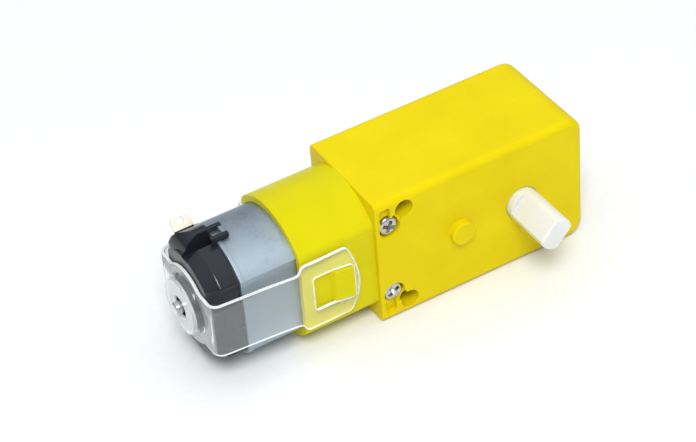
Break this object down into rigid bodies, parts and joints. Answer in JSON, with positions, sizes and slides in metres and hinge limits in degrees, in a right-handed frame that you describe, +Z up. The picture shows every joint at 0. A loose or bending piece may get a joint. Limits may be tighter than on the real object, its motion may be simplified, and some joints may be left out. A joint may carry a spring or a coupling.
{
  "type": "geared dc motor",
  "caption": "Right-angle geared brushed dc motor with a plastic gearbox, strapped-on motor and a double-ended shaft with flats.",
  "frame": {"origin": "the middle of the output shaft, on its axis and on the parting plane of the gearbox", "axes": "+Y along the output shaft to the side without the locating boss, +X along the body from the motor to the output end, +Z up"},
  "size_m": [0.0657, 0.0372, 0.0226],
  "materials": {
    "case_plastic": "satin yellow ABS",
    "screw_steel": "zinc-plated steel",
    "strap_plastic": "clear flexible plastic",
    "ground_steel": "ground steel",
    "can_steel": "plated drawn steel",
    "bearing_bronze": "sintered bronze",
    "ferrite": "ferrite magnet",
    "bell_plastic": "glossy black nylon",
    "tinned_contact": "tinned bronze",
    "carbon": "carbon",
    "lamination_steel": "stacked lamination steel",
    "winding_copper": "enamelled copper wire",
    "segment_copper": "copper",
    "gear_nylon": "natural nylon",
    "shaft_nylon": "white nylon"
  },
  "bodies": {
    "gearbox": {"front_half_shell": "case_plastic", "rear_half_shell": "case_plastic", "case_screws": "screw_steel", "motor_collar": "case_plastic", "retaining_strap": "strap_plastic", "gear_pin": "ground_steel", "motor_can": "can_steel", "can_bearing": "bearing_bronze", "magnet_upper": "ferrite", "magnet_lower": "ferrite", "end_bell": "bell_plastic", "end_bell_bearing": "bearing_bronze", "terminal_upper": "tinned_contact", "terminal_lower": "tinned_contact", "brush_upper": "carbon", "brush_lower": "carbon"},
    "rotor": {"rotor_shaft": "ground_steel", "rotor_core": "lamination_steel", "rotor_windings": "winding_copper", "commutator_hub": "bell_plastic", "commutator_segments": "segment_copper", "rotor_spacers": "gear_nylon", "motor_pinion": "gear_nylon"},
    "crown": {"crown_gear": "gear_nylon"},
    "second": {"second_gear": "gear_nylon"},
    "third": {"third_gear": "gear_nylon"},
    "output": {"output_gear": "shaft_nylon", "rear_output_shaft": "shaft_nylon"}
  },
  "joints": [
    {"name": "rotor_spin", "type": "hinge", "parent": "gearbox", "child": "rotor", "pos_m": [0, 0, 0], "axis": [1, 0, 0], "continuous": true},
    {"name": "crown_spin", "type": "hinge", "parent": "gearbox", "child": "crown", "pos_m": [-0.011, 0, 0], "axis": [0, 1, 0], "continuous": true},
    {"name": "second_spin", "type": "hinge", "parent": "gearbox", "child": "second", "pos_m": [0, 0, 0], "axis": [0, 1, 0], "continuous": true},
    {"name": "third_spin", "type": "hinge", "parent": "gearbox", "child": "third", "pos_m": [-0.011, 0, 0], "axis": [0, 1, 0], "continuous": true},
    {"name": "output_spin", "type": "hinge", "parent": "gearbox", "child": "output", "pos_m": [0, 0, 0], "axis": [0, 1, 0], "continuous": true}
  ],
  "couplings": [
    {"joint": "crown_spin", "follows": "rotor_spin", "ratio": 0.25},
    {"joint": "second_spin", "follows": "rotor_spin", "ratio": -0.09375},
    {"joint": "third_spin", "follows": "rotor_spin", "ratio": 0.04375},
    {"joint": "output_spin", "follows": "rotor_spin", "ratio": -0.020417}
  ]
}
